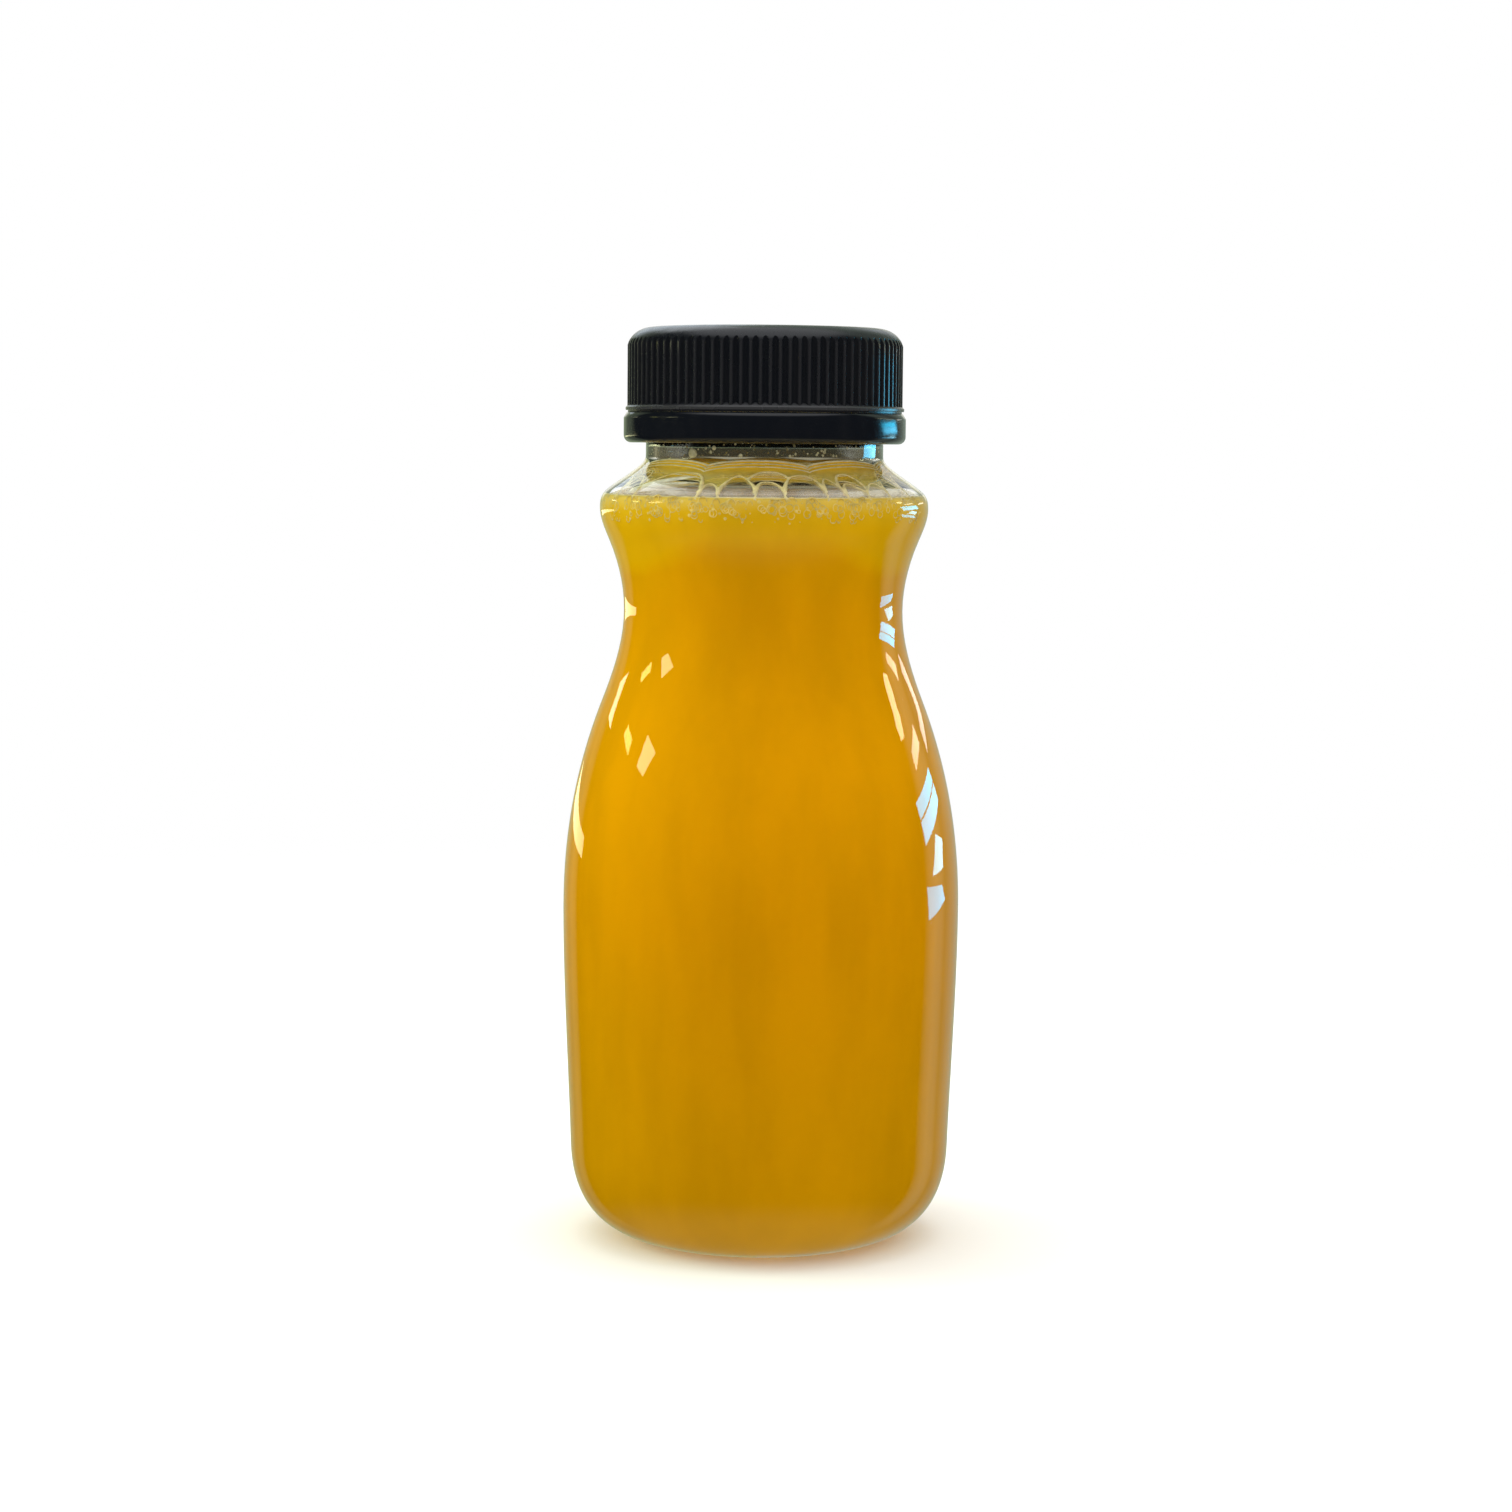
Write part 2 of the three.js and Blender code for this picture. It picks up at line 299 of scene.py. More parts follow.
def new_piece(name, points, faces, material, slot):
    """A mesh piece from points in millimetres, riding on the one body."""
    mesh = bpy.data.meshes.new(name)
    mesh.from_pydata([(x * MM, y * MM, z * MM) for x, y, z in points], [], faces)
    mesh.validate()
    mesh.update()
    mesh.shade_smooth()
    mesh.materials.append(material)
    piece = bpy.data.objects.new(name, mesh)
    bpy.context.scene.collection.objects.link(piece)
    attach(piece, "root")
    return piece


def revolve(profile, segments, closed=False, shape=None):
    """Points and faces of a profile turned about the axis. Its ends are on the axis, or it is closed.
    shape(index, radius, height, angle) may give another radius and height."""
    points, rings = [], []
    for index, (r, z) in enumerate(profile):
        if r == 0:
            rings.append([len(points)] * segments)
            points.append((0, 0, z))
            continue
        rings.append(list(range(len(points), len(points) + segments)))
        for k in range(segments):
            angle = FULL_TURN * k / segments
            ring_r, ring_z = shape(index, r, z, angle) if shape else (r, z)
            points.append((ring_r * math.sin(angle), -ring_r * math.cos(angle), ring_z))
    pairs = list(zip(rings[:-1], rings[1:]))
    if closed:
        pairs.append((rings[-1], rings[0]))
    faces = []
    for lower, upper in pairs:
        for k in range(segments):
            n = (k + 1) % segments
            corners = [lower[k], lower[n], upper[n], upper[k]]
            face = [c for i, c in enumerate(corners) if c != corners[i - 1]]
            if len(face) > 2:
                faces.append(face)
    return points, faces


def at_angle(degrees, radius, z):
    """A point at a radius and an angle round the bottle."""
    a = math.radians(degrees)
    return Vector((radius * math.sin(a), -radius * math.cos(a), z))


def wall_point(degrees, z, depth=0.0):
    """A point near the inside of the wall, a depth in from it."""
    return at_angle(degrees, inner_radius(z) - depth, z)


def wall_directions(degrees):
    """Unit vectors outwards and sideways at an angle round the bottle."""
    a = math.radians(degrees)
    return Vector((math.sin(a), -math.cos(a), 0)), Vector((math.cos(a), math.sin(a), 0))


def tube(path, radii, sides=7):
    """Points and faces of a closed tube along a path near the wall."""
    points, faces = [], []
    for i, (place, radius) in enumerate(zip(path, radii)):
        along = (path[min(i + 1, len(path) - 1)] - path[max(i - 1, 0)]).normalized()
        inwards = Vector((-place.x, -place.y, 0)).normalized()
        across = along.cross(inwards).normalized()
        inwards = across.cross(along)
        for k in range(sides):
            a = FULL_TURN * k / sides
            points.append(place + (across * math.cos(a) + inwards * math.sin(a)) * radius)
    for i in range(len(path) - 1):
        for k in range(sides):
            n = (k + 1) % sides
            faces.append((i * sides + k, i * sides + n, (i + 1) * sides + n, (i + 1) * sides + k))
    faces.append(tuple(reversed(range(sides))))
    faces.append(tuple(range((len(path) - 1) * sides, len(path) * sides)))
    return points, faces


def ball(centre, radii, degrees, columns, rows):
    """Points and faces of an ellipsoid. Its radii are outwards, sideways and up at its place round
    the bottle."""
    outwards, sideways = wall_directions(degrees)
    points = [centre + outwards * radii[0]]
    for i in range(1, rows):
        polar = math.pi * i / rows
        for k in range(columns):
            turn = FULL_TURN * k / columns
            flat = sideways * (math.cos(turn) * radii[1]) + UP * (math.sin(turn) * radii[2])
            points.append(centre + outwards * (math.cos(polar) * radii[0]) + flat * math.sin(polar))
    points.append(centre - outwards * radii[0])
    last = len(points) - 1
    faces = [(0, 1 + k, 1 + (k + 1) % columns) for k in range(columns)]
    for i in range(rows - 2):
        near, far = 1 + i * columns, 1 + (i + 1) * columns
        for k in range(columns):
            n = (k + 1) % columns
            faces.append((near + k, far + k, far + n, near + n))
    ring = 1 + (rows - 2) * columns
    faces += [(ring + k, last, ring + (k + 1) % columns) for k in range(columns)]
    return points, faces


def joined(parts):
    points, faces = [], []
    for part_points, part_faces in parts:
        start = len(points)
        points += part_points
        faces += [tuple(start + c for c in face) for face in part_faces]
    return points, faces


def fuse(piece, voxel, smoothing):
    """Melts the parts of a piece into one skin."""
    remesh = piece.modifiers.new("fuse", "REMESH")
    remesh.mode = "VOXEL"
    remesh.voxel_size = voxel * MM
    remesh.use_smooth_shade = True
    smooth = piece.modifiers.new("soften", "SMOOTH")
    smooth.factor = 0.5
    smooth.iterations = smoothing
    bpy.context.view_layer.update()
    solid = bpy.data.meshes.new_from_object(piece.evaluated_get(bpy.context.evaluated_depsgraph_get()))
    piece.modifiers.clear()
    solid.name = piece.name
    solid.shade_smooth()
    piece.data = solid


# Node materials

def new_material(name):
    material = bpy.data.materials.new(name)
    material.use_nodes = True
    material.node_tree.nodes.clear()
    return material, material.node_tree


def node(tree, kind, inputs=None, **settings):
    made = tree.nodes.new(kind)
    for key, value in settings.items():
        setattr(made, key, value)
    for key, value in (inputs or {}).items():
        socket = made.inputs[key]
        if isinstance(value, bpy.types.NodeSocket):
            tree.links.new(value, socket)
        else:
            socket.default_value = value
    return made


def math_node(tree, operation, first, second=0.0, third=0.0):
    return node(tree, "ShaderNodeMath", {0: first, 1: second, 2: third}, operation=operation).outputs[0]


def between(tree, value, low, high, out_low=0.0, out_high=1.0):
    """The value mapped smoothly from one range to another."""
    inputs = {"Value": value, "From Min": low, "From Max": high, "To Min": out_low, "To Max": out_high}
    return node(tree, "ShaderNodeMapRange", inputs, interpolation_type="SMOOTHSTEP").outputs[0]


def between_linear(tree, value, low, high):
    """The share of the way from low to high."""
    return node(tree, "ShaderNodeMapRange", {"Value": value, "From Min": low, "From Max": high}).outputs[0]


def ramp(tree, value, stops):
    made = node(tree, "ShaderNodeValToRGB", {"Fac": value})
    elements = made.color_ramp.elements
    while len(elements) < len(stops):
        elements.new(1)
    for element, (position, colour) in zip(elements, stops):
        element.position = position
        element.color = (*colour, 1)
    return made.outputs[0]


def mix_colour(tree, factor, first, second, blend="MIX"):
    made = node(tree, "ShaderNodeMix", data_type="RGBA", blend_type=blend)
    for key, value in ((0, factor), (6, first), (7, second)):
        if isinstance(value, bpy.types.NodeSocket):
            tree.links.new(value, made.inputs[key])
        else:
            made.inputs[key].default_value = value if key == 0 else (*value, 1)
    return made.outputs[2]


def noise_node(tree, vector, scale, detail=2.0, roughness=0.5):
    inputs = {"Vector": vector, "Scale": scale, "Detail": detail, "Roughness": roughness}
    return node(tree, "ShaderNodeTexNoise", inputs).outputs["Fac"]


def object_point(tree):
    return node(tree, "ShaderNodeTexCoord").outputs["Object"]


def parts_of(tree, vector):
    """The X, Y and Z of a vector."""
    return node(tree, "ShaderNodeSeparateXYZ", {0: vector}).outputs


def stretched(tree, vector, scale):
    return node(tree, "ShaderNodeMapping", {"Vector": vector, "Scale": scale}).outputs[0]


def length_of(tree, vector):
    return node(tree, "ShaderNodeVectorMath", {0: vector}, operation="LENGTH").outputs["Value"]


def principled(tree, inputs):
    return node(tree, "ShaderNodeBsdfPrincipled", inputs).outputs[0]


def transparent(tree, tint=(1, 1, 1)):
    return node(tree, "ShaderNodeBsdfTransparent", {"Color": (*tint, 1)}).outputs[0]


def diffuse(tree, colour):
    return node(tree, "ShaderNodeBsdfDiffuse", {"Color": (*colour, 1)}).outputs[0]


def mix_shader(tree, share, first, second):
    return node(tree, "ShaderNodeMixShader", {0: share, 1: first, 2: second}).outputs[0]


def output(tree, surface):
    node(tree, "ShaderNodeOutputMaterial", {"Surface": surface})


def clear_plastic():
    """Blown plastic: clear, glossy, with the faint unevenness of its wall. Lamps shine through it
    without a shadow."""
    material, tree = new_material("clear_plastic")
    waves = noise_node(tree, stretched(tree, object_point(tree), (90, 90, 35)), 1.0, 1.0)
    bump = node(tree, "ShaderNodeBump", {"Height": waves, "Strength": 0.05, "Distance": 0.0006})
    inputs = {
        "Base Color": (0.97, 0.99, 0.96, 1),
        "Roughness": 0.02,
        "IOR": 1.57,
        "Transmission Weight": 1.0,
        "Normal": bump.outputs[0],
    }
    shadow_ray = node(tree, "ShaderNodeLightPath").outputs["Is Shadow Ray"]
    passing = transparent(tree, (0.96, 0.96, 0.94))
    output(tree, mix_shader(tree, shadow_ray, principled(tree, inputs), passing))
    return material


def juice_share(tree, point):
    """How far up the juice a point lies, from 0 to 1. The sides near its top count as higher, so they take
    the paler top colours while the middle stays darker: painted light and shade.
    """
    parts = parts_of(tree, point)
    wisps = math_node(tree, "MULTIPLY_ADD", noise_node(tree, point, 260), 0.014, -0.007)
    share = math_node(tree, "ADD", math_node(tree, "DIVIDE", parts["Z"], JUICE_LEVEL * MM), wisps)
    sideways = math_node(tree, "ABSOLUTE", parts["X"])
    near_top = between(tree, parts["Z"], 92 * MM, 102 * MM)
    # Painted light and shade: near the top, the sides are made paler than the middle
    painted_side_light = math_node(tree, "MULTIPLY", between(tree, sideways, 7 * MM, 19 * MM, 0.0, 0.04), near_top)
    side_lit_share = math_node(tree, "MINIMUM", math_node(tree, "ADD", share, painted_side_light), 0.962)
    return math_node(tree, "MAXIMUM", share, side_lit_share)


def orange_juice():
    """Cloudy golden juice: paler and yellower near the top, deeper and browner towards the base. Part of
    this is painted light and shade from above: it is brightest at mid height, where the wall faces up, and
    darker towards the base.
    """
    material, tree = new_material("orange_juice")
    point = object_point(tree)
    # Painted light and shade: the bright band at mid height and the darker base stand in for light from
    # above
    depth_and_light_colour = ramp(
        tree,
        juice_share(tree, point),
        (
            (0.0, (0.65, 0.328, 0.0006)),
            (0.2, (0.69, 0.345, 0.0006)),
            (0.45, (0.75, 0.358, 0.0006)),
            (0.65, (0.805, 0.395, 0.0008)),
            (0.86, (0.78, 0.385, 0.0008)),
            (0.93, (0.765, 0.395, 0.0008)),
            (0.955, (0.8, 0.47, 0.001)),
            (0.985, (0.78, 0.48, 0.012)),
            (1.0, (0.8, 0.57, 0.11)),
        ),
    )
    clouds = noise_node(tree, stretched(tree, point, (1, 1, 0.25)), 95, 4.0, 0.6)
    tone = between(tree, clouds, 0.3, 0.7, 0.93, 1.05)
    colour = mix_colour(tree, 1.0, depth_and_light_colour, tone, "MULTIPLY")
    output(tree, principled(tree, {"Base Color": colour, "Roughness": 0.4, "Specular IOR Level": 0.0}))
    return material


def pale_foam(name, colour, alpha=1.0):
    """Wet foam: pale yellow liquid with a clear gloss, uneven in tone and, below 1 in alpha, in cover."""
    material, tree = new_material(name)
    point = object_point(tree)
    patches = noise_node(tree, point, 900, 3.0)
    tone = mix_colour(tree, between(tree, patches, 0.3, 0.7), tuple(0.7 * c for c in colour), colour)
    foam = principled(tree, {"Base Color": tone, "Roughness": 0.2, "IOR": 1.33})
    if alpha < 1:
        streaks = noise_node(tree, stretched(tree, point, (1, 1, 3)), 260, 3.0)
        cover = between(tree, streaks, 0.3, 0.65, alpha - 0.25, min(1.0, alpha + 0.25))
        foam = mix_shader(tree, cover, transparent(tree), foam)
    output(tree, foam)
    return material


def clinging_juice():
    """Juice that clings to the shoulder: golden and thick under the neck, thin and see-through lower
    down and to the sides."""
    material, tree = new_material("clinging_juice")
    point = object_point(tree)
    parts = parts_of(tree, point)
    high = between(tree, parts["Z"], 113.6 * MM, 115.3 * MM)
    colour = mix_colour(tree, high, (0.6, 0.48, 0.12), (0.95, 0.56, 0.03))
    liquid = principled(tree, {"Base Color": colour, "Roughness": 0.2, "IOR": 1.33})
    streaks = noise_node(tree, stretched(tree, point, (1, 1, 3)), 240, 3.0)
    streaky = between(tree, streaks, 0.3, 0.65, 0.25, 0.65)
    thicker = math_node(tree, "ADD", streaky, math_node(tree, "MULTIPLY", high, 0.6))
    sideways = math_node(tree, "ABSOLUTE", parts["X"])
    thinner = between(tree, sideways, 11 * MM, 18 * MM, 1.0, 0.3)
    cover = math_node(tree, "MULTIPLY", math_node(tree, "MINIMUM", thicker, 1.0), thinner)
    output(tree, mix_shader(tree, cover, transparent(tree), liquid))
    return material


def bubble_skin():
    """A soap-thin film: see-through, faintly milky near the juice, with a glint that grows towards
    its edge."""
    material, tree = new_material("bubble_skin")
    facing = node(tree, "ShaderNodeLayerWeight", {"Blend": 0.12}).outputs["Fresnel"]
    share = math_node(tree, "MULTIPLY", facing, 0.3)
    glint = node(tree, "ShaderNodeBsdfGlossy", {"Roughness": 0.03}).outputs[0]
    skin = mix_shader(tree, share, transparent(tree, (0.995, 0.99, 0.975)), glint)
    height = parts_of(tree, object_point(tree))["Z"]
    milkiness = between(tree, height, 112.5 * MM, 113.1 * MM, 0.1, 0.0)
    output(tree, mix_shader(tree, milkiness, skin, diffuse(tree, (0.86, 0.79, 0.7))))
    return material


def painted_rib_highlights(tree, point, colour):
    """The colour made paler on the crests of the ribs, and paler still on the ledge below them: painted
    highlights where light catches them, leaving the grooves darker as painted shade.
    """
    flat = node(tree, "ShaderNodeVectorMath", {0: point, 1: (1, 1, 0)}, operation="MULTIPLY").outputs[0]
    radius = length_of(tree, flat)
    crest = between(tree, radius, (CAP_RADIUS - 0.22) * MM, (CAP_RADIUS - 0.01) * MM)
    # Painted highlight: crests paler than the grooves, as light on the crests and shade in the grooves
    lit_crests = mix_colour(tree, crest, colour, (0.0135, 0.0137, 0.016))
    ledge = between(tree, radius, (CAP_RADIUS + 0.02) * MM, (CAP_RADIUS + 0.12) * MM)
    return mix_colour(tree, ledge, lit_crests, (0.026, 0.026, 0.028))


def black_plastic(name, ribbed=False):
    """Moulded black plastic: satin, slightly blue, with a very fine grain. On the ribs, the crests and the
    ledge are painted paler as highlights.
    """
    material, tree = new_material(name)
    point = object_point(tree)
    grain = noise_node(tree, point, 2600)
    marks = noise_node(tree, stretched(tree, point, (1, 1, 0.35)), 420, 3.0)
    smoothest, roughest = (0.25, 0.31) if ribbed else (0.1, 0.2)
    roughness = between(tree, marks, 0.35, 0.7, smoothest, roughest)
    marked = between(tree, marks, 0.4, 0.8)
    colour = mix_colour(tree, marked, (0.0042, 0.0051, 0.0073), (0.0052, 0.006, 0.0083))
    if ribbed:
        colour = painted_rib_highlights(tree, point, colour)
    bump = node(tree, "ShaderNodeBump", {"Height": grain, "Strength": 0.12, "Distance": 0.00004})
    inputs = {"Base Color": colour, "Roughness": roughness, "IOR": 1.5, "Normal": bump.outputs[0]}
    output(tree, principled(tree, inputs))
    return material


# Bottle and juice

def make_bottle_wall(material):
    rim = MOUTH_HEIGHT - LIP_ROUND
    bore = NECK_RADIUS - NECK_WALL
    bead = [
        (NECK_RADIUS, NECK_MIDDLE),
        (NECK_RADIUS, BEAD_BOTTOM),
        (BEAD_RADIUS, BEAD_BOTTOM),
        (BEAD_RADIUS, BEAD_BOTTOM + BEAD_HEIGHT / 2),
        (NECK_RADIUS, BEAD_BOTTOM + BEAD_HEIGHT),
    ]
    profile = [
        *push_up(0),
        (FOOT_INNER_RADIUS, 0),
        *outer_wall(),
        *bead,
        *arc(NECK_RADIUS - LIP_ROUND, rim, LIP_ROUND, LIP_ROUND, 0, 90, 4),
        *arc(bore + LIP_ROUND, rim, LIP_ROUND, LIP_ROUND, 90, 180, 4),
        *reversed(INNER_WALL),
        *reversed(push_up(BASE_WALL)),
    ]
    points, faces = revolve(profile, WALL_SEGMENTS)
    piece = new_piece("bottle_wall", points, faces, material, "clear_plastic")
    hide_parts("bottle")


def make_juice(material):
    """The juice fills the bottle to its level, and its surface rises where it meets the wall."""
    side = [p for p in inner_wall(-INTO_WALL) if p[1] < JUICE_LEVEL - 0.2]
    rim = inner_radius(JUICE_LEVEL) + INTO_WALL
    middle = JUICE_LEVEL - 0.4
    meniscus = [(rim, JUICE_LEVEL + 0.15), (rim - 0.35, JUICE_LEVEL - 0.1), (rim - 1.2, JUICE_LEVEL - 0.35)]
    profile = [*push_up(BASE_WALL - INTO_WALL), *side, *meniscus, (rim * 0.5, middle), (0, middle)]
    points, faces = revolve(profile, JUICE_SEGMENTS)
    piece = new_piece("juice_body", points, faces, material, "orange_juice")
    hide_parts("juice")


# Foam

def all_cells():
    """Every cell round the wall as (start, end, top): those at the front and random ones behind."""
    draw = random.Random(FOAM_SEED)
    cells = []
    start = FIRST_CELL_START
    for end, top in FRONT_CELLS:
        cells.append((start, end, top))
        start = end
    finish = FIRST_CELL_START + 360
    while finish - start > 30:
        end = start + draw.uniform(8, 24)
        cells.append((start, end, 112.6 + draw.uniform(0, 1.5)))
        start = end
    cells.append((start, finish, 113.6))
    return cells


def cell_top(cell, degrees):
    """The height of a cell's outline: an arch that leans, rounder in one cell and more pointed in the
    next."""
    start, end, top = cell
    across = (degrees - start) / (end - start) * 2 - 1
    across += 0.42 * math.sin(1.7 * start) * (1 - across * across)
    foot = JUICE_LEVEL + 0.4 * (top - JUICE_LEVEL)
    sharpness = 2.5 + 0.8 * math.sin(2 * end - 0.9)
    return foot + (top - foot) * max(0, 1 - abs(across) ** sharpness) ** 0.7


def film_bottom(cells, degrees):
    """The height down to which juice clings to the shoulder: the top of the windows there."""
    lowest = max(cell_top(c, degrees) for c in cells if c[0] <= degrees <= c[1])
    for start, end, top in UPPER_CELLS:
        if start < degrees < end:
            across = (degrees - start) / (end - start) * 2 - 1
            lowest = max(lowest, top - 1.1 * abs(across) ** 3)
    return lowest


def cell_arch(cell):
    """The rim over a cell, thicker towards its feet."""
    start, end, _ = cell
    steps = max(8, round((end - start) * 1.6))
    arch = [start + (end - start) * i / steps for i in range(steps + 1)]
    path = [wall_point(d, cell_top(cell, d), RIM_DEPTH) for d in arch]
    return tube(path, [0.17 + 0.22 * abs(2 * i / steps - 1) ** 5 for i in range(steps + 1)])


def cell_post(cell, draw):
    """The upright rim where a cell starts, from the waterline to the foot of its arch."""
    start = cell[0]
    foot = cell_top(cell, start)
    path = []
    for i in range(7):
        z = JUICE_LEVEL - 0.2 + (foot - JUICE_LEVEL + 0.3) * i / 6
        path.append(wall_point(start + draw.uniform(-0.4, 0.4), z, RIM_DEPTH))
    return tube(path, [0.42, 0.3, 0.2, 0.17, 0.2, 0.3, 0.42])


def make_bubble_rims(material):
    """The pale liquid borders between the bubbles and along the waterline."""
    draw = random.Random(FOAM_SEED + 1)
    parts = []
    cells = all_cells()
    for cell in cells:
        parts.append(cell_arch(cell))
        parts.append(cell_post(cell, draw))
    for start, end, _ in UPPER_CELLS:
        arch = [start + (end - start) * i / 16 for i in range(17)]
        path = [wall_point(d, film_bottom(cells, d), RIM_DEPTH) for d in arch]
        parts.append(tube(path, [0.2 + 0.12 * abs(i / 8 - 1) ** 4 for i in range(17)]))
    waterline = []
    for d in range(361):
        wobble = 0.06 * noise.noise((d * 0.2, 0, 0))
        waterline.append(wall_point(d, JUICE_LEVEL + 0.05 + wobble, 0.1))
    parts.append(tube(waterline, [0.2] * len(waterline)))
    piece = new_piece("bubble_rims", *joined(parts), material, "juice_foam")
    fuse(piece, voxel=0.09, smoothing=3)
    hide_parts("foam")


def make_crescent(material):
    """A curved, pale piece in the large bubble on the left that stands in for a reflected highlight there:
    a painted highlight.
    """
    steps = 24
    start, span = -60, 34
    path, radii = [], []
    for i in range(steps + 1):
        rise = math.sin(math.pi / 2 * i / steps)
        path.append(wall_point(start + span * i / steps, 111.7 + 1.9 * rise, 0.45))
        radii.append(0.06 + 0.62 * math.sin(math.pi * (i / steps) ** 0.8))
    new_piece("painted_highlight_crescent", *tube(path, radii, 12), material, "juice_foam")


def film_top(degrees):
    """The scalloped upper edge of the juice that clings to the shoulder."""
    share = math.radians((degrees - SCALLOP_CUSP) / SCALLOP_WIDTH * 180)
    return SCALLOP_FOOT + SCALLOP_HEIGHT * abs(math.sin(share)) ** 0.6


def make_juice_film(material):
    """The thin juice that clings to the inside of the shoulder, from the bubbles up to the neck."""
    columns, rows = 900, 10
    into_wall, into_bottle = -0.08, 0.1
    cells = all_cells()
    points, faces = [], []
    for k in range(columns):
        degrees = FIRST_CELL_START + 360 * k / columns
        low, high = film_bottom(cells, degrees) + 0.05, film_top(degrees)
        strip = [low + (high - low) * i / rows for i in range(rows + 1)]
        points += [wall_point(degrees, z, into_wall) for z in strip]
        points += [wall_point(degrees, z, into_bottle) for z in reversed(strip)]
    around = 2 * (rows + 1)
    for k in range(columns):
        n = (k + 1) % columns
        for i in range(around):
            j = (i + 1) % around
            faces.append((k * around + i, n * around + i, n * around + j, k * around + j))
    new_piece("juice_film", points, faces, material, "juice_foam")


def make_film_ridges(material):
    """The golden arcs where the clinging juice gathers under the neck."""
    steps = 720
    parts = []
    for drop, thickness in FILM_RIDGES:
        flatness = 0.3 * drop
        path = []
        for i in range(steps + 1):
            degrees = 360 * i / steps
            height = film_top(degrees) * (1 - flatness) + FLAT_RIDGE * flatness - drop
            path.append(wall_point(degrees, height, -0.02))
        parts.append(tube(path, [thickness] * len(path), 6))
    new_piece("film_ridges", *joined(parts), material, "juice_foam")


def make_froth(material):
    """Small bubbles under the waterline, pressed to the wall and thinning out downwards. The larger
    ones show as rings and the smallest as beads."""
    ring_count, bead_count, turns = 420, 260, 12
    draw = random.Random(FOAM_SEED + 2)
    parts = []
    for _ in range(ring_count):
        degrees = draw.uniform(0, 360)
        depth = draw.random() ** 1.4 * 2.7
        size = draw.uniform(0.3, 0.75) * (1 - 0.15 * depth)
        centre = wall_point(degrees, JUICE_LEVEL - 0.3 - depth, -0.05)
        sideways = wall_directions(degrees)[1]
        tall = Vector((0, 0, draw.uniform(0.85, 1.25)))
        loop = []
        for i in range(turns + 1):
            t = FULL_TURN * i / turns
            loop.append(centre + (sideways * math.cos(t) + tall * math.sin(t)) * size)
        parts.append(tube(loop, [0.09] * len(loop), 5))
    for _ in range(bead_count):
        degrees = draw.uniform(0, 360)
        size = draw.uniform(0.1, 0.32)
        place = wall_point(degrees, JUICE_LEVEL - 0.1 - 3.2 * draw.random() ** 1.8)
        parts.append(ball(place, (0.2, size, size), degrees, 10, 6))
    new_piece("froth", *joined(parts), material, "juice_foam")


def make_droplets(material):
    """Small drops that cling to the inside of the neck. The drops are real; their pale, half-opaque colour
    is painted light, in place of the light that clear drops refract.
    """
    small_count = 240
    draw = random.Random(FOAM_SEED + 4)
    drops = list(LARGE_DROPS)
    for _ in range(small_count):
        drops.append((draw.uniform(0, 360), 117.3 + 5 * draw.random() ** 1.5, draw.uniform(0.07, 0.22)))
    parts = []
    for degrees, z, size in drops:
        centre = at_angle(degrees, NECK_RADIUS - NECK_WALL, z)
        radii = (0.5 * size, size, size * draw.uniform(0.95, 1.25))
        parts.append(ball(centre, radii, degrees, 14, 9))
    new_piece("neck_droplets", *joined(parts), material, "juice_foam")


def inside_wall(point):
    """The point, moved towards the axis where it would stand in the wall."""
    limit = inner_radius(point.z) - 0.02
    distance = math.hypot(point.x, point.y)
    share = min(1, limit / distance) if distance else 1
    return Vector((point.x * share, point.y * share, point.z))


def make_bubble_films(material):
    """The thin skins of the large bubbles on the juice: one in each cell at the wall, and two rings of
    others further in."""
    cell_radius = 23
    inner_rings = ((16, 17.5), (7, 9))
    draw = random.Random(FOAM_SEED + 3)
    parts = []
    for start, end, top in all_cells():
        middle = (start + end) / 2
        width = math.radians(end - start) * cell_radius / 2
        height = top - JUICE_LEVEL
        depth = min(width, 3.2)
        centre = wall_point(middle, JUICE_LEVEL + height * 0.35, depth * 0.8)
        parts.append(ball(centre, (depth, width * 0.98, height * 0.72), middle, 28, 20))
    for count, distance in inner_rings:
        for i in range(count):
            degrees = 360 * (i + draw.uniform(-0.2, 0.2)) / count
            size = draw.uniform(2.2, 3.4)
            centre = at_angle(degrees, distance, JUICE_LEVEL + 0.1)
            parts.append(ball(centre, (size, size, size * 0.8), degrees, 24, 16))
    points, faces = joined(parts)
    new_piece("bubble_films", [inside_wall(p) for p in points], faces, material, "juice_foam")


# Closure

def skirt_radius(angle):
    """The ribbed skirt of the cap: narrow crests between wide hollow grooves."""
    pitch = FULL_TURN / RIBS
    offset = abs((angle / pitch + 0.5) % 1 - 0.5)
    return CAP_RADIUS - GROOVE_DEPTH * max(0, 1 - (offset / GROOVE_HALF) ** 2)


